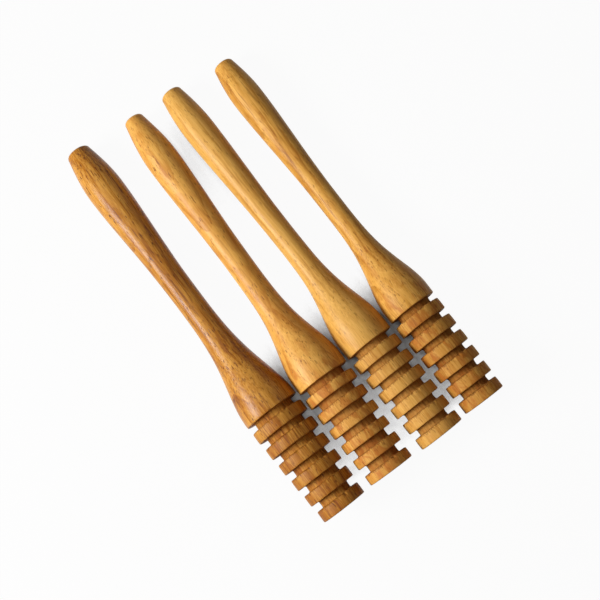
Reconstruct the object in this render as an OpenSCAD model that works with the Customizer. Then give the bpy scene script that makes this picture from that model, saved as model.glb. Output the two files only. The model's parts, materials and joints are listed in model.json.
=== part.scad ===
// Four wooden honey dippers laid side by side on a table, heads level with each other.
// Each dipper is turned from one stick: a swelling grip, a slim neck, a flared
// shoulder and a head of six discs with a honey groove in front of each.
// Millimetres, +Z up. Heads point along -Y, grips along +Y, dipper 1 is at -X.
// The origin is the middle of the set's outline, on the table.

/* [Dipper 1] */
// Length of the stick
length_1 = 158.4; // [120:0.1:220]
// Diameter of the grip's end
tip_d_1 = 8.6; // [5:0.1:10]
// Diameter of the grip at its thickest
grip_d_1 = 13.5; // [10.5:0.1:15]
// Distance from the grip's end to its thickest place
grip_at_1 = 18.2; // [14:0.1:30]
// Diameter of the neck at its slimmest
neck_d_1 = 9.7; // [6:0.1:10]
// Distance from the grip's end to the slimmest place of the neck
neck_at_1 = 67.2; // [50:0.1:76]
// Diameter of the shoulder in front of the head
head_d_1 = 20.9; // [18:0.1:26]
// Length of the head, from the shoulder's edge to the flat end
head_len_1 = 41; // [36:0.1:43]
// Diameter of the last disc
end_d_1 = 17.2; // [15:0.1:24]
// Width of each groove
groove_w_1 = 2.6; // [1.6:0.1:3.4]
// Length of the straight band at the shoulder's edge
band_1 = 1; // [0.8:0.1:7]
// How late the shoulder flares out: 1 is early, 2 is late
flare_1 = 1.69; // [1.2:0.01:2]
// Turn of the stick on the table, in degrees
turn_1 = 0.34; // [-0.6:0.01:0.6]
// How far the flat end lies back from the set's front line
back_1 = 0.5; // [0:0.1:3]

/* [Dipper 2] */
// Length of the stick
length_2 = 155.7; // [120:0.1:220]
// Diameter of the grip's end
tip_d_2 = 7.1; // [5:0.1:10]
// Diameter of the grip at its thickest
grip_d_2 = 12.2; // [10.5:0.1:15]
// Distance from the grip's end to its thickest place
grip_at_2 = 19.8; // [14:0.1:30]
// Diameter of the neck at its slimmest
neck_d_2 = 9.4; // [6:0.1:10]
// Distance from the grip's end to the slimmest place of the neck
neck_at_2 = 69.5; // [50:0.1:76]
// Diameter of the shoulder in front of the head
head_d_2 = 20.1; // [18:0.1:26]
// Length of the head, from the shoulder's edge to the flat end
head_len_2 = 39.1; // [36:0.1:43]
// Diameter of the last disc
end_d_2 = 17.4; // [15:0.1:24]
// Width of each groove
groove_w_2 = 2.8; // [1.6:0.1:3.4]
// Length of the straight band at the shoulder's edge
band_2 = 4; // [0.8:0.1:7]
// How late the shoulder flares out: 1 is early, 2 is late
flare_2 = 1.75; // [1.2:0.01:2]
// Turn of the stick on the table, in degrees
turn_2 = -0.73; // [-1:0.01:1]
// How far the flat end lies back from the set's front line
back_2 = 0.7; // [0:0.1:3]

/* [Dipper 3] */
// Length of the stick
length_3 = 155.6; // [120:0.1:220]
// Diameter of the grip's end
tip_d_3 = 7.9; // [5:0.1:10]
// Diameter of the grip at its thickest
grip_d_3 = 11.5; // [10.5:0.1:15]
// Distance from the grip's end to its thickest place
grip_at_3 = 17.3; // [14:0.1:30]
// Diameter of the neck at its slimmest
neck_d_3 = 8.7; // [6:0.1:10]
// Distance from the grip's end to the slimmest place of the neck
neck_at_3 = 68.9; // [50:0.1:76]
// Diameter of the shoulder in front of the head
head_d_3 = 18.6; // [18:0.1:26]
// Length of the head, from the shoulder's edge to the flat end
head_len_3 = 39.6; // [36:0.1:43]
// Diameter of the last disc
end_d_3 = 17.2; // [15:0.1:24]
// Width of each groove
groove_w_3 = 2.5; // [1.6:0.1:3.4]
// Length of the straight band at the shoulder's edge
band_3 = 5.2; // [0.8:0.1:7]
// How late the shoulder flares out: 1 is early, 2 is late
flare_3 = 1.71; // [1.2:0.01:2]
// Turn of the stick on the table, in degrees
turn_3 = 1; // [-1:0.01:1]
// How far the flat end lies back from the set's front line
back_3 = 0; // [0:0.1:3]

/* [Dipper 4] */
// Length of the stick
length_4 = 151.6; // [120:0.1:220]
// Diameter of the grip's end
tip_d_4 = 7.4; // [5:0.1:10]
// Diameter of the grip at its thickest
grip_d_4 = 11.2; // [10.5:0.1:15]
// Distance from the grip's end to its thickest place
grip_at_4 = 16.1; // [14:0.1:30]
// Diameter of the neck at its slimmest
neck_d_4 = 7.9; // [6:0.1:10]
// Distance from the grip's end to the slimmest place of the neck
neck_at_4 = 66.3; // [50:0.1:76]
// Diameter of the shoulder in front of the head
head_d_4 = 18.3; // [18:0.1:26]
// Length of the head, from the shoulder's edge to the flat end
head_len_4 = 39.8; // [36:0.1:43]
// Diameter of the last disc
end_d_4 = 16; // [15:0.1:24]
// Width of each groove
groove_w_4 = 2.35; // [1.6:0.05:3.4]
// Length of the straight band at the shoulder's edge
band_4 = 4; // [0.8:0.1:7]
// How late the shoulder flares out: 1 is early, 2 is late
flare_4 = 1.75; // [1.2:0.01:2]
// Turn of the stick on the table, in degrees
turn_4 = 0.03; // [-0.6:0.01:0.6]
// How far the flat end lies back from the set's front line
back_4 = 0.6; // [0:0.1:3]

/* [Turning] */
// Number of discs on each head
discs = 6; // [4:1:7]
// Depth of the grooves below the discs on both sides
groove_depth = 2.5; // [1.2:0.1:3.4]
// Rounding of the discs' edges
disc_round = 0.35; // [0.1:0.05:0.6]
// Rounding at the foot of each groove
groove_round = 0.5; // [0.1:0.05:0.7]
// Rounding of the grip's end
tip_round = 1.3; // [0.5:0.1:2]
// How the discs narrow to the end: 1 is a straight taper, more is a fuller head
taper = 1.35; // [1:0.05:2]

/* [Set] */
// Gap between dippers 1 and 2 at their shoulders
gap_12 = 0.5; // [0.4:0.1:20]
// Gap between dippers 2 and 3 at their shoulders
gap_23 = 0.6; // [0.4:0.1:20]
// Gap between dippers 3 and 4 at their shoulders
gap_34 = 0.8; // [0.4:0.1:20]

/* [Hidden] */
NODES = ["dipper_1", "dipper_2", "dipper_3", "dipper_4"];

$fn = 96;

// Facets of a rounded edge, and points along the grip, the neck and the flare
edge_steps = 4;
grip_steps = 12;
neck_steps = 18;
flare_steps = 26;

// How early the grip starts to narrow towards the neck
grip_ease = 0.85;

// One row of sizes for each dipper, and what each place in a row holds
sizes = [
    [length_1, tip_d_1, grip_d_1, grip_at_1, neck_d_1, neck_at_1, head_d_1,
     head_len_1, end_d_1, groove_w_1, band_1, flare_1, turn_1, back_1],
    [length_2, tip_d_2, grip_d_2, grip_at_2, neck_d_2, neck_at_2, head_d_2,
     head_len_2, end_d_2, groove_w_2, band_2, flare_2, turn_2, back_2],
    [length_3, tip_d_3, grip_d_3, grip_at_3, neck_d_3, neck_at_3, head_d_3,
     head_len_3, end_d_3, groove_w_3, band_3, flare_3, turn_3, back_3],
    [length_4, tip_d_4, grip_d_4, grip_at_4, neck_d_4, neck_at_4, head_d_4,
     head_len_4, end_d_4, groove_w_4, band_4, flare_4, turn_4, back_4]
];
function full_length(s) = s[0];
function tip_r(s) = s[1] / 2;
function thick_r(s) = s[2] / 2;
function thick_at(s) = s[3];
function slim_r(s) = s[4] / 2;
function slim_at(s) = s[5];
function shoulder_r(s) = s[6] / 2;
function head_length(s) = s[7];
function end_r(s) = s[8] / 2;
function groove_width(s) = s[9];
function band_width(s) = s[10];
function lateness(s) = s[11];
function turned(s) = s[12];
function set_back(s) = s[13];
gaps = [gap_12, gap_23, gap_34];

// Points of an arc round a centre, from one angle to another
function arc(centre, radius, from, to) =
    [for (i = [0 : edge_steps])
        let (a = from + (to - from) * i / edge_steps)
        centre + radius * [cos(a), sin(a)]];

// Radius of disc i of dipper s: 0 is the shoulder's edge, the last one is the end
function disc_r(s, i) =
    shoulder_r(s) + (end_r(s) - shoulder_r(s)) * pow(i / discs, taper);

// Where disc i starts and ends, measured from the flat end of the head
function disc_pitch(s) = head_length(s) / discs;
function disc_near(s, i) = (discs - i) * disc_pitch(s);
function disc_far(s, i) = disc_near(s, i) + disc_pitch(s) - groove_width(s);

// The outline's points are [radius, distance from the flat end of the head].
// A disc's rim, with both edges rounded
function rim(s, i) =
    let (r = disc_r(s, i) - disc_round)
    concat(
        arc([r, disc_near(s, i) + disc_round], disc_round, -90, 0),
        arc([r, disc_far(s, i) - disc_round], disc_round, 0, 90));

// The groove behind disc i, with both corners of its floor rounded
function groove(s, i) =
    let (r = min(disc_r(s, i), disc_r(s, i - 1)) - groove_depth + groove_round,
         low = disc_far(s, i) + groove_round,
         high = disc_near(s, i - 1) - groove_round)
    concat(
        arc([r, low], groove_round, 270, 180),
        arc([r, high], groove_round, 180, 90));

// The shoulder's rounded edge, its straight band and the flare down to the neck
function flare(s) =
    let (r = shoulder_r(s),
         slim = slim_r(s),
         start = head_length(s) + band_width(s),
         run = full_length(s) - slim_at(s) - start)
    concat(
        arc([r - disc_round, head_length(s) + disc_round], disc_round, -90, 0),
        [for (i = [0 : flare_steps])
            let (x = i / flare_steps, bend = pow(1 - x, lateness(s)))
            [slim + (r - slim) * (1 - cos(180 * bend)) / 2, start + run * x]]);

// From just past the neck up to the grip's thickest place
function neck(s) =
    let (slim = slim_r(s),
         swell = thick_r(s) - slim,
         start = full_length(s) - slim_at(s),
         run = slim_at(s) - thick_at(s))
    [for (i = [1 : neck_steps])
        let (x = i / neck_steps, bend = pow(1 - x, grip_ease))
        [slim + swell * (1 + cos(180 * bend)) / 2, start + run * x]];

// From the thickest place to the grip's end, and the rounded end itself
function grip_r(s, from_tip) =
    tip_r(s) + (thick_r(s) - tip_r(s)) * sin(90 * from_tip / thick_at(s));
function grip(s) =
    let (run = thick_at(s) - tip_round, last_r = grip_r(s, tip_round) - tip_round)
    concat(
        [for (i = [1 : grip_steps - 1])
            let (from_tip = thick_at(s) - run * i / grip_steps)
            [grip_r(s, from_tip), full_length(s) - from_tip]],
        arc([last_r, full_length(s) - tip_round], tip_round, 0, 90));

function head(s) = [for (i = [discs : -1 : 1]) each concat(rim(s, i), groove(s, i))];
function handle(s) = concat(neck(s), grip(s));
function outline(s) = concat(head(s), flare(s), handle(s));

// A stick lies on its head and its grip. Its axis drops towards the grip by the
// slope of the line that touches both.
function slope(s) =
    let (widest = concat(head(s), flare(s)), far = handle(s))
    max([for (h = widest)
        min([for (g = far) if (g.y > h.y) atan((h.x - g.x) / (g.y - h.y))])]);
lean = [for (s = sizes) slope(s)];

// Unit vector along stick k, from its head to its grip
function along(k) =
    let (turn = turned(sizes[k]))
    [-sin(turn) * cos(lean[k]), cos(turn) * cos(lean[k]), -sin(lean[k])];

// How far stick k reaches in direction v from the middle of its flat end
function reach(k, v) =
    let (d = along(k) * v, side = sqrt(1 - d * d))
    max([for (p = outline(sizes[k])) p.y * d + p.x * side]);

// Middle of each flat end. The shoulders stand side by side with the set gaps.
function shoulder_shift(k) = along(k).x * (head_length(sizes[k]) + disc_round);
function spacing(k) = shoulder_r(sizes[k]) + shoulder_r(sizes[k + 1]) + gaps[k];
function end_x(k) = k == 0 ? 0
    : end_x(k - 1) + shoulder_shift(k - 1) + spacing(k - 1) - shoulder_shift(k);
function end_y(k) = set_back(sizes[k]);

all = [0 : len(sizes) - 1];
left = min([for (k = all) end_x(k) - reach(k, [-1, 0, 0])]);
right = max([for (k = all) end_x(k) + reach(k, [1, 0, 0])]);
front = min([for (k = all) end_y(k) - reach(k, [0, -1, 0])]);
rear = max([for (k = all) end_y(k) + reach(k, [0, 1, 0])]);
function end_at(k) =
    [end_x(k) - (left + right) / 2, end_y(k) - (front + rear) / 2, reach(k, [0, 0, -1])];

for (k = all)
    echo(str(NODES[k], ": middle of the flat end ", end_at(k), ", axis to the grip ",
        along(k), ", lean ", lean[k]));

// A turned stick along +Z, with its flat end at the origin
module stick(s) {
    rotate_extrude()
        polygon(concat([[0, 0]], outline(s), [[0, full_length(s)]]));
}

// Lays stick k in its place on the table
module laid(k) {
    translate(end_at(k))
        rotate([0, 0, turned(sizes[k])])
            rotate([-90 - lean[k], 0, 0])
                stick(sizes[k]);
}

module dipper_1() {
    color("#a9652c") laid(0);
}

module dipper_2() {
    color("#c98445") laid(1);
}

module dipper_3() {
    color("#d39a58") laid(2);
}

module dipper_4() {
    color("#c28740") laid(3);
}

dipper_1();
dipper_2();
dipper_3();
dipper_4();
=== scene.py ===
import json
import math

import bpy
from mathutils import Matrix, Vector, noise


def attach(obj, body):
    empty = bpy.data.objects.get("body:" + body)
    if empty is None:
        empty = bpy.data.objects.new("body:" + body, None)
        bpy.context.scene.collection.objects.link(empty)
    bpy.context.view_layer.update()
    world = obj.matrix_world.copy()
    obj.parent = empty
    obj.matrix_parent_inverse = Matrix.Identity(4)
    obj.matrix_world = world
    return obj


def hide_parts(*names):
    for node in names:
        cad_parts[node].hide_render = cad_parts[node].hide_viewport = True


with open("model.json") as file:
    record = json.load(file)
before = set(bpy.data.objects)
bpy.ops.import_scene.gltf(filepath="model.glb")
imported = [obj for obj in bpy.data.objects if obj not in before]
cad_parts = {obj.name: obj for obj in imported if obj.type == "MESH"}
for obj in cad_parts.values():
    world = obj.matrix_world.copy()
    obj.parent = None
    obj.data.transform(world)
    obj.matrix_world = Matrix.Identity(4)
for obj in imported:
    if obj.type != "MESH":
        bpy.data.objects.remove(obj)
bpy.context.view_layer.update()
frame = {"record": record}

scene = bpy.context.scene

# Dipper 1 is the thickest and reddest of the set. Like the others it is turned on a lathe from
# one stick of beech, so the handle, the flared shoulder and the six discs are a single piece.
# The grooves are cut with a parting tool, which frays the discs' edges. Their floors and walls carry painted
# shade.
MM = 0.001
DISCS = 6
SEGMENTS = 216
TAPER = 1.35
GROOVE_DEPTH = 2.5
DISC_ROUND = 0.35
GROOVE_ROUND = 0.5
TIP_ROUND = 1.3
GRIP_EASE = 0.85
END_SINK = 0.25

dipper_1 = {
    "length": 158.4, "tip_d": 8.6, "grip_d": 13.5, "grip_at": 18.2, "neck_d": 9.7, "neck_at": 67.2,
    "head_d": 20.9, "head_len": 41, "end_d": 17.2, "groove_w": 2.6, "band": 1, "flare": 1.69,
}


def arc(r, z, radius, start, end, steps=5):
    """Points of a rounded edge, as (radius from the axis, distance from the flat end)."""
    turns = [math.radians(start + (end - start) * i / steps) for i in range(steps + 1)]
    return [(r + radius * math.cos(a), z + radius * math.sin(a)) for a in turns]


def disc_r(stick, i):
    """Radius of disc i: 0 is the shoulder's edge and the last one is at the flat end."""
    wide, narrow = stick["head_d"] / 2, stick["end_d"] / 2
    return wide + (narrow - wide) * (i / DISCS) ** TAPER


def head_outline(stick):
    """The discs and grooves, from the flat end to the shoulder."""
    points = []
    pitch = stick["head_len"] / DISCS
    for i in range(DISCS, 0, -1):
        near = (DISCS - i) * pitch
        far = near + pitch - stick["groove_w"]
        rim = disc_r(stick, i) - DISC_ROUND
        foot = min(disc_r(stick, i), disc_r(stick, i - 1)) - GROOVE_DEPTH + GROOVE_ROUND
        points += arc(rim, near + DISC_ROUND, DISC_ROUND, -90, 0)
        points += [(rim + DISC_ROUND, near + (far - near) * k / 6) for k in range(2, 5)]
        points += arc(rim, far - DISC_ROUND, DISC_ROUND, 0, 90)
        points += [(foot + (rim - foot) * k / 4, far) for k in (3, 2, 1)]
        points += arc(foot, far + GROOVE_ROUND, GROOVE_ROUND, 270, 180)
        points += arc(foot, near + pitch - GROOVE_ROUND, GROOVE_ROUND, 180, 90)
        points += [(foot + (rim - foot) * k / 4, near + pitch) for k in (1, 2, 3)]
    return points


def handle_outline(stick):
    """The shoulder, the neck and the grip, up to its rounded end."""
    wide, slim, thick = stick["head_d"] / 2, stick["neck_d"] / 2, stick["grip_d"] / 2
    tip, length = stick["tip_d"] / 2, stick["length"]
    start = stick["head_len"] + stick["band"]
    points = arc(wide - DISC_ROUND, stick["head_len"] + DISC_ROUND, DISC_ROUND, -90, 0)
    run = length - stick["neck_at"] - start
    for i in range(47):
        x = i / 46
        bend = (1 - x) ** stick["flare"]
        points.append((slim + (wide - slim) * (1 - math.cos(math.pi * bend)) / 2, start + run * x))
    run = stick["neck_at"] - stick["grip_at"]
    for i in range(1, 41):
        x = i / 40
        bend = (1 - x) ** GRIP_EASE
        r = slim + (thick - slim) * (1 + math.cos(math.pi * bend)) / 2
        points.append((r, length - stick["neck_at"] + run * x))

    def grip_r(from_tip):
        return tip + (thick - tip) * math.sin(math.pi / 2 * from_tip / stick["grip_at"])

    run = stick["grip_at"] - TIP_ROUND
    for i in range(1, 18):
        from_tip = stick["grip_at"] - run * i / 18
        points.append((grip_r(from_tip), length - from_tip))
    points += arc(grip_r(TIP_ROUND) - TIP_ROUND, length - TIP_ROUND, TIP_ROUND, 0, 90, steps=7)
    return points


def end_face(outline):
    """Rings across the flat end, with the small hollow that the lathe's drive centre leaves."""
    rim = outline[0][0]
    hollow = [(0, END_SINK), (0.5, END_SINK * 0.8), (0.9, END_SINK * 0.2), (1.3, 0)]
    return hollow + [(rim * k / 5, 0) for k in (1.6, 2.4, 3.2, 4.2)]


def tip_face(outline):
    """Rings across the grip's end."""
    rim, length = outline[-1]
    return [(rim * k / 4, length) for k in (3, 2, 1)] + [(0, length)]


def turn(name, stick):
    """A closed stick along +Z, in millimetres: its outline is drawn point by point, then spun."""
    outline = head_outline(stick) + handle_outline(stick)
    outline = end_face(outline) + outline + tip_face(outline)
    bpy.ops.object.select_all(action="DESELECT")
    bpy.ops.mesh.primitive_plane_add(size=1, location=(0, 0, 0))
    piece = bpy.context.object
    piece.name = piece.data.name = name
    bpy.ops.object.mode_set(mode="EDIT")
    bpy.ops.mesh.merge(type="CENTER")
    last = (0, 0)
    for r, z in outline:
        step = (r - last[0], 0, z - last[1])
        bpy.ops.mesh.extrude_vertices_move(TRANSFORM_OT_translate={"value": step})
        last = (r, z)
    bpy.ops.mesh.select_all(action="SELECT")
    bpy.ops.mesh.remove_doubles(threshold=0.0005)
    bpy.ops.mesh.spin(steps=SEGMENTS, angle=math.tau, center=(0, 0, 0), axis=(0, 0, 1))
    bpy.ops.mesh.select_all(action="SELECT")
    bpy.ops.mesh.remove_doubles(threshold=0.003)
    bpy.ops.mesh.normals_make_consistent(inside=False)
    bpy.ops.object.mode_set(mode="OBJECT")
    return piece


def wear(piece, stick, seed):
    """Takes a little wood off, as the tools did: faint waves on the handle, torn edges on the discs' grip
    side and rough groove floors. Notes on each point how deep it lies in a groove, and how near to a torn
    edge; that second note also marks the groove walls and floors, which get painted shade."""
    head, wide = stick["head_len"], stick["head_d"] / 2
    pitch = head / DISCS
    width = pitch - stick["groove_w"]
    shift = Vector((seed * 17.3, seed * 5.1, seed * 9.7))
    cut = piece.data.attributes.new("cut", "FLOAT", "POINT")
    torn_edge_and_shade = piece.data.attributes.new("torn_edge_and_shade", "FLOAT", "POINT")
    for v in piece.data.vertices:
        r = math.hypot(v.co.x, v.co.y)
        if r < 0.01:
            continue
        z = v.co.z
        i = min(max((head - z) / pitch, 0), DISCS)
        full = wide + (stick["end_d"] / 2 - wide) * (i / DISCS) ** TAPER
        depth = max(0.0, full - r) if 0.1 < z < head - 0.01 else 0.0
        cut.data[v.index].value = min(depth / GROOVE_DEPTH, 1)
        place = v.co + shift
        loss = 0.04 * (1 + noise.noise(place * 0.12))
        if z < head + 0.6:
            along = z % pitch if z < head else 0
            grip_side = max(0.0, 1 - abs(along - width) / 0.9)
            head_side = max(0.0, 1 - along / 0.5)
            rim = min(1.0, max(0.0, 1.6 - depth / 0.6))
            coarse = max(0.0, noise.noise(place * 0.62) + 0.5 * noise.noise(place * 1.5) - 0.12)
            fine = 0.5 + 0.5 * noise.noise(place * 3.1)
            tear = rim * (grip_side ** 2 * (0.25 * fine + 1.3 * coarse) + head_side * 0.1 * fine)
            loss += min(tear, 0.6)
            # The groove walls and floor get a share of the same mark as painted shade, the disc's grip-side
            # wall most.
            wall = (1 - rim) * (0.8 if abs(along - width) < 0.15 and depth < 2 else 0.3)
            torn_edge_and_shade.data[v.index].value = grip_side * rim + wall
            if depth > 1.4:
                loss += 0.16 * (1 + noise.noise(place * 1.1))
        keep = 1 - min(loss, r * 0.1) / r
        v.co.x *= keep
        v.co.y *= keep


def lay(piece, node):
    """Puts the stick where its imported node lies: flat end, then axis, from the part's own mount."""
    mount = next(m for m in frame["record"]["mounts"] if m["name"] == node.replace("dipper", "head_end"))
    along = -Vector(mount["axis"]).normalized()
    across = along.cross(Vector((0, 0, 1))).normalized()
    turned = Matrix((across, along.cross(across), along)).transposed()
    place = Matrix.Translation(mount["pos_m"]) @ turned.to_4x4()
    piece.data.transform(place @ Matrix.Scale(MM, 4))
    bpy.ops.object.select_all(action="DESELECT")
    piece.select_set(True)
    bpy.context.view_layer.objects.active = piece
    bpy.ops.object.shade_smooth_by_angle(angle=math.radians(50))
    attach(piece, node)
    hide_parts(node)
    return place


def wood(name, place, head, dark, mid, light, pith, rings, fibres, tone, lines, flecks, patches,
         head_shade, groove_shade, gloss, shine):
    """Oiled beech as a solid block of wood round the stick. Growth rings run round a pith that
    lies to one side, so the turned shape cuts them into lines and arches by itself."""
    material = bpy.data.materials.new(name)
    material.use_nodes = True
    tree = material.node_tree
    tree.nodes.clear()

    def add(kind, **values):
        made = tree.nodes.new("ShaderNode" + kind)
        for key, value in values.items():
            if key in made.inputs:
                if hasattr(value, "is_linked"):
                    tree.links.new(value, made.inputs[key])
                else:
                    made.inputs[key].default_value = value
            else:
                setattr(made, key, value)
        return made

    def maths(operation, *values):
        made = add("Math", operation=operation)
        for value, socket in zip(values, made.inputs):
            if hasattr(value, "is_linked"):
                tree.links.new(value, socket)
            else:
                socket.default_value = value
        return made.outputs[0]

    def shade(value, over, factor):
        """Adds factor times the distance of over from its middle."""
        return maths("ADD", value, maths("MULTIPLY_ADD", over, factor, -0.5 * factor))

    def grade(value, low, high, top=1.0):
        """0 below low, rising to top at high."""
        made = add("MapRange", Value=value, clamp=True, interpolation_type="SMOOTHSTEP")
        made.inputs["From Min"].default_value = low
        made.inputs["From Max"].default_value = high
        made.inputs["To Max"].default_value = top
        return made.outputs["Result"]

    def grain(scale, detail=2.0, rough=0.5, warp=0.0):
        """Noise drawn out along the stick."""
        squeezed = add("Mapping", vector_type="POINT", Vector=local, Scale=scale)
        return add("TexNoise", Vector=squeezed.outputs["Vector"], Scale=1.0, Detail=detail,
                   Roughness=rough, Distortion=warp).outputs["Fac"]

    def paint(under, over, factor):
        made = add("Mix", data_type="RGBA", clamp_factor=True)
        for value, socket in ((under, 6), (over, 7), (factor, 0)):
            if hasattr(value, "is_linked"):
                tree.links.new(value, made.inputs[socket])
            else:
                made.inputs[socket].default_value = value
        return made.outputs[2]

    def tinted(colour, factors):
        return (*(c * f for c, f in zip(colour, factors)), 1)

    coords = add("TexCoord")
    stick = add("Mapping", vector_type="TEXTURE", Vector=coords.outputs["Object"],
                Location=place.to_translation(), Rotation=place.to_euler(), Scale=(MM, MM, MM))
    local = stick.outputs["Vector"]
    tilted = add("Mapping", vector_type="POINT", Vector=local,
                 Location=(pith["x"], pith["y"], 0),
                 Rotation=(math.radians(pith["lean_x"]), math.radians(pith["lean_y"]), 0))
    wander = add("TexNoise", Vector=local, Scale=0.035, Detail=2.0)
    bent = add("VectorMath", operation="MULTIPLY_ADD")
    tree.links.new(wander.outputs["Color"], bent.inputs[0])
    bent.inputs[1].default_value = (pith["wander"],) * 3
    tree.links.new(tilted.outputs["Vector"], bent.inputs[2])
    ring = add("TexWave", wave_type="RINGS", rings_direction="Z", wave_profile="SAW",
               Vector=bent.outputs[0], Scale=0.314 / pith["spacing"], Distortion=0.8, Detail=4.0)
    ring.inputs["Detail Scale"].default_value = 1.6
    late = grade(ring.outputs["Fac"], 0.45, 0.97)
    late = maths("MULTIPLY", late, grade(grain((0.2, 0.2, 0.05)), 0.35, 0.6))

    fibre = grain((2.6, 2.6, 0.08), detail=6.0, rough=0.72)
    broad = grain((0.16, 0.16, 0.025), detail=3.0, warp=0.5)
    line = grain((1.35, 1.35, 0.05), detail=4.0, rough=0.6, warp=0.25)
    fleck = grain((2.3, 2.3, 0.42), detail=1.5, warp=0.3)
    patch = grain((0.30, 0.30, 0.12), detail=4.0, rough=0.6, warp=0.8)
    speck = grain((0.5, 0.5, 0.2), detail=2.0)

    depth = shade(shade(shade(0.53, late, -rings), fibre, fibres), broad, tone)
    ramp = add("ValToRGB", Fac=depth)
    stops = ramp.color_ramp.elements
    stops[0].position, stops[0].color = 0.1, (*dark, 1)
    stops[1].position, stops[1].color = 0.88, (*light, 1)
    stops.new(0.5).color = (*mid, 1)
    height = add("SeparateXYZ", Vector=local).outputs["Z"]
    headward = grade(height, 56.0, 40.0)
    russet = maths("MULTIPLY", grade(patch, 0.44, 0.62, patches), maths("MULTIPLY_ADD", headward, 0.65, 0.35))
    colour = paint(ramp.outputs["Color"], tinted(mid, (0.72, 0.42, 0.25)), russet)
    colour = paint(colour, tinted(dark, (0.75, 0.62, 0.5)), grade(line, 0.54, 0.72, lines))
    fleck = maths("MULTIPLY", grade(fleck, 0.58, 0.68, flecks), grade(speck, 0.4, 0.6))
    colour = paint(colour, tinted(dark, (0.5, 0.38, 0.3)), fleck)
    on_head = grade(height, head + 0.4, head)
    # Painted shade: the whole head is darkened towards the dark wood colour.
    colour = paint(colour, (*dark, 1), maths("MULTIPLY", on_head, head_shade))

    cut = add("Attribute", attribute_name="cut").outputs["Fac"]
    torn_edge_and_shade = add("Attribute", attribute_name="torn_edge_and_shade").outputs["Fac"]
    blotch = grain((0.9, 0.9, 0.9), detail=3.0)
    hairs = grain((2.7, 2.7, 0.3), detail=2.0)
    frayed_and_shaded = shade(shade(torn_edge_and_shade, hairs, 2.2), blotch, 1.0)
    # Painted shade: the groove floors are darkened towards the dark wood colour, more the deeper they lie.
    colour = paint(colour, tinted(dark, (0.5, 0.36, 0.25)), grade(shade(cut, blotch, 0.6), 0.2, 0.9, groove_shade))
    # Darkens the torn grain at the discs' grip-side edges, which is real, together with painted shade along
    # those edges and on the groove walls.
    colour = paint(colour, tinted(dark, (0.42, 0.3, 0.22)), grade(frayed_and_shaded, 0.45, 0.85, 0.35 + 0.5 * groove_shade))

    worn = maths("MULTIPLY_ADD", fibre, 0.35, gloss - 0.17)
    dull = maths("MULTIPLY_ADD", maths("ADD", cut, on_head), 0.22, worn)
    relief = shade(shade(0.5, fibre, 0.7), fleck, -0.8)
    ridges = add("TexWave", wave_type="BANDS", bands_direction="Z", Vector=local, Scale=0.62,
                 Distortion=1.5, Detail=2.0)
    relief = shade(relief, ridges.outputs["Fac"], 0.12)
    bump = add("Bump", Height=relief, Strength=0.4, Distance=0.00012)
    shader = add("BsdfPrincipled", Roughness=dull, Normal=bump.outputs["Normal"])
    tree.links.new(colour, shader.inputs["Base Color"])
    shader.inputs["Specular IOR Level"].default_value = shine
    surface = add("OutputMaterial")
    tree.links.new(shader.outputs["BSDF"], surface.inputs["Surface"])
    return material


piece_1 = turn("turned_dipper_1", dipper_1)
wear(piece_1, dipper_1, seed=1)
place_1 = lay(piece_1, "dipper_1")
piece_1.data.materials.append(wood(
    "beech_red_brown", place_1, head=dipper_1["head_len"],
    dark=(0.17, 0.045, 0.004), mid=(0.36, 0.132, 0.008), light=(0.58, 0.28, 0.045),
    pith={"x": 38, "y": 30, "lean_x": 2.5, "lean_y": -1.5, "wander": 6, "spacing": 3.0},
    rings=0.3, fibres=1.6, tone=1.5, lines=0.85, flecks=0.9, patches=0.3,
    head_shade=0.2, groove_shade=0.1, gloss=0.29, shine=0.2))

# Dipper 2 has the plain, pale orange wood of a board's face, with arched grain on the grip and
# reddish ray flecks on its discs. It is a little slimmer than the first one and has narrower
# discs. It lies slightly turned, with its shoulder nearly against dipper 1.
dipper_2 = {
    "length": 155.7, "tip_d": 7.1, "grip_d": 12.2, "grip_at": 19.8, "neck_d": 9.4, "neck_at": 69.5,
    "head_d": 20.1, "head_len": 39.1, "end_d": 17.4, "groove_w": 2.8, "band": 4, "flare": 1.75,
}
piece_2 = turn("turned_dipper_2", dipper_2)
wear(piece_2, dipper_2, seed=2)
place_2 = lay(piece_2, "dipper_2")
piece_2.data.materials.append(wood(
    "beech_orange", place_2, head=dipper_2["head_len"],
    dark=(0.34, 0.115, 0.014), mid=(0.58, 0.27, 0.044), light=(0.76, 0.42, 0.095),
    pith={"x": 4, "y": 46, "lean_x": 4.5, "lean_y": 0.5, "wander": 7, "spacing": 3.4},
    rings=0.3, fibres=1.15, tone=0.8, lines=0.35, flecks=0.75, patches=0.7,
    head_shade=0.18, groove_shade=0.5, gloss=0.4, shine=0.22))

# Dipper 3 is the palest and most even stick, cut with its rings on edge, so its lines run
# straight. The flare ends in a broad straight band. It leans a degree the other way.
dipper_3 = {
    "length": 155.6, "tip_d": 7.9, "grip_d": 11.5, "grip_at": 17.3, "neck_d": 8.7, "neck_at": 68.9,
    "head_d": 18.6, "head_len": 39.6, "end_d": 17.2, "groove_w": 2.5, "band": 5.2, "flare": 1.71,
}
piece_3 = turn("turned_dipper_3", dipper_3)
wear(piece_3, dipper_3, seed=3)
place_3 = lay(piece_3, "dipper_3")
piece_3.data.materials.append(wood(
    "beech_pale", place_3, head=dipper_3["head_len"],
    dark=(0.35, 0.135, 0.02), mid=(0.59, 0.3, 0.055), light=(0.76, 0.44, 0.11),
    pith={"x": 60, "y": 8, "lean_x": 0.8, "lean_y": 0.6, "wander": 3, "spacing": 2.4},
    rings=0.25, fibres=1.2, tone=0.6, lines=0.4, flecks=0.5, patches=0.2,
    head_shade=0.18, groove_shade=0.5, gloss=0.4, shine=0.2))

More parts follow.
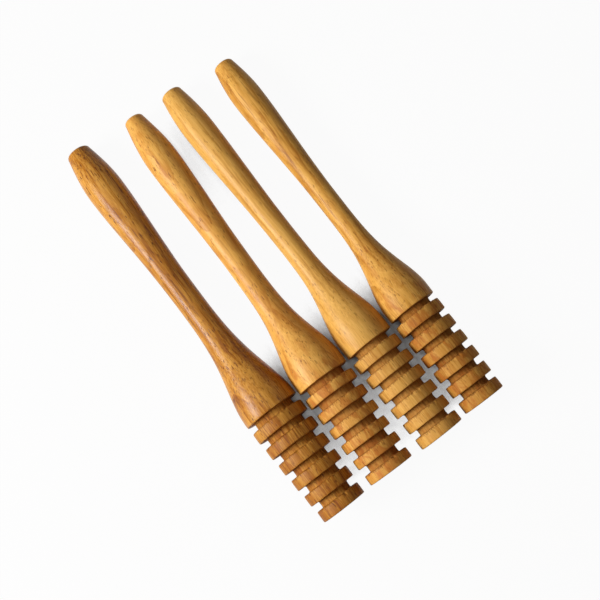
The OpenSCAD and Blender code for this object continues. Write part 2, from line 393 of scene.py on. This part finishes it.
# Dipper 4 is the slimmest and shortest one. Its wood is golden, with fine dark lines that
# gather at the flare, and a few reddish patches on the outer discs.
dipper_4 = {
    "length": 151.6, "tip_d": 7.4, "grip_d": 11.2, "grip_at": 16.1, "neck_d": 7.9, "neck_at": 66.3,
    "head_d": 18.3, "head_len": 39.8, "end_d": 16, "groove_w": 2.35, "band": 4, "flare": 1.75,
}
piece_4 = turn("turned_dipper_4", dipper_4)
wear(piece_4, dipper_4, seed=4)
place_4 = lay(piece_4, "dipper_4")
piece_4.data.materials.append(wood(
    "beech_golden", place_4, head=dipper_4["head_len"],
    dark=(0.27, 0.09, 0.012), mid=(0.55, 0.258, 0.038), light=(0.74, 0.405, 0.09),
    pith={"x": 44, "y": 22, "lean_x": 1.6, "lean_y": -1.0, "wander": 5, "spacing": 2.6},
    rings=0.35, fibres=1.3, tone=0.9, lines=0.6, flecks=0.6, patches=0.7,
    head_shade=0.35, groove_shade=0.5, gloss=0.42, shine=0.16))

# The table is a plain white surface. The camera sees it nearly as white as the photograph's
# ground. The dippers keep their shadow on it: faint round them, and dark in the slots between
# the heads, where hardly any light gets down to the table.
FLOOR_SIZE = 6
FLOOR_WHITENESS = 0.95
SLOT_DEPTH = 0.012
bpy.ops.object.select_all(action="DESELECT")
bpy.ops.mesh.primitive_plane_add(size=FLOOR_SIZE, location=(0, 0, -0.0001))
floor = bpy.context.object
floor.name = "floor"
paper = bpy.data.materials.new("white_ground")
paper.use_nodes = True
nodes, links = paper.node_tree.nodes, paper.node_tree.links
nodes.clear()
matt = nodes.new("ShaderNodeBsdfDiffuse")
matt.inputs["Color"].default_value = (0.5, 0.5, 0.5, 1)
glow = nodes.new("ShaderNodeEmission")
seen = nodes.new("ShaderNodeLightPath")
rays = nodes.new("ShaderNodeMath")
rays.operation = "ADD"
more = nodes.new("ShaderNodeMath")
more.operation = "ADD"
openness = nodes.new("ShaderNodeAmbientOcclusion")
openness.samples = 16
openness.inputs["Distance"].default_value = SLOT_DEPTH
lit = nodes.new("ShaderNodeMapRange")
lit.interpolation_type = "SMOOTHSTEP"
lit.inputs["From Min"].default_value = 0.2
lit.inputs["From Max"].default_value = 0.36
lit.inputs["To Max"].default_value = FLOOR_WHITENESS
share = nodes.new("ShaderNodeMath")
share.operation = "MULTIPLY"
share.use_clamp = True
blend = nodes.new("ShaderNodeMixShader")
ground = nodes.new("ShaderNodeOutputMaterial")
links.new(seen.outputs["Is Camera Ray"], rays.inputs[0])
links.new(seen.outputs["Is Glossy Ray"], rays.inputs[1])
links.new(rays.outputs[0], more.inputs[0])
links.new(seen.outputs["Is Transmission Ray"], more.inputs[1])
links.new(more.outputs[0], share.inputs[0])
links.new(openness.outputs["AO"], lit.inputs["Value"])
links.new(lit.outputs["Result"], share.inputs[1])
links.new(share.outputs[0], blend.inputs["Fac"])
links.new(matt.outputs[0], blend.inputs[1])
links.new(glow.outputs[0], blend.inputs[2])
links.new(blend.outputs[0], ground.inputs["Surface"])
floor.data.materials.append(paper)

# The sky is white to the eye. To the wood it is a soft, even and slightly warm light.
AMBIENT = 0.11
world = bpy.data.worlds.new("studio")
scene.world = world
world.use_nodes = True
nodes, links = world.node_tree.nodes, world.node_tree.links
nodes.clear()
seen = nodes.new("ShaderNodeLightPath")
rays = nodes.new("ShaderNodeMath")
rays.operation = "ADD"
more = nodes.new("ShaderNodeMath")
more.operation = "ADD"
more.use_clamp = True
strength = nodes.new("ShaderNodeMapRange")
strength.inputs["To Min"].default_value = AMBIENT
strength.inputs["To Max"].default_value = 1.0
sky = nodes.new("ShaderNodeBackground")
tint = nodes.new("ShaderNodeMix")
tint.data_type = "RGBA"
tint.inputs[6].default_value = (1, 0.79, 0.6, 1)
tint.inputs[7].default_value = (1, 1, 1, 1)
links.new(more.outputs[0], tint.inputs[0])
links.new(tint.outputs[2], sky.inputs["Color"])
out = nodes.new("ShaderNodeOutputWorld")
links.new(seen.outputs["Is Camera Ray"], rays.inputs[0])
links.new(seen.outputs["Is Glossy Ray"], rays.inputs[1])
links.new(rays.outputs[0], more.inputs[0])
links.new(seen.outputs["Is Transmission Ray"], more.inputs[1])
links.new(more.outputs[0], strength.inputs["Value"])
links.new(strength.outputs["Result"], sky.inputs["Strength"])
links.new(sky.outputs[0], out.inputs["Surface"])


# The main lamp is a softbox low on dipper 1's side, a little towards the grips. It leaves the
# far side of each dipper brown, and a long sheen on the near side. A weak one fills from above.
def softbox(name, direction, distance, size, power):
    lamp = bpy.data.lights.new(name, "AREA")
    lamp.shape = "RECTANGLE"
    lamp.size, lamp.size_y = size
    lamp.energy = power
    stand = bpy.data.objects.new(name, lamp)
    scene.collection.objects.link(stand)
    towards = Vector(direction).normalized()
    stand.location = towards * distance
    stand.rotation_mode = "QUATERNION"
    stand.rotation_quaternion = towards.to_track_quat("Z", "Y")


softbox("key", direction=(-0.78, 0.18, 0.56), distance=0.6, size=(0.28, 0.22), power=4.8)
softbox("top", direction=(-0.2, 0.3, 1), distance=0.7, size=(0.5, 0.5), power=0.95)

# The camera looks nearly straight down over the heads, turned so that the dippers lie on the
# photograph's diagonal.
FOCAL_PIXELS = 1064.7
FRAME_PIXELS = 600
CAMERA_AT = Vector((6.632, -53.074, 379.041)) * MM
TILT_X, TILT_Y, ROLL = 6.2091, 0.7936, -37.4358
eye = bpy.data.cameras.new("camera")
eye.sensor_width = 36
eye.lens = eye.sensor_width * FOCAL_PIXELS / FRAME_PIXELS
camera = bpy.data.objects.new("camera", eye)
scene.collection.objects.link(camera)
camera.rotation_mode = "QUATERNION"
aim = (Matrix.Rotation(math.radians(TILT_X), 3, "X")
       @ Matrix.Rotation(math.radians(TILT_Y), 3, "Y")
       @ Matrix.Rotation(math.radians(ROLL), 3, "Z"))
camera.location = CAMERA_AT
camera.rotation_quaternion = aim.to_quaternion()
scene.camera = camera
scene.view_settings.view_transform = "Standard"
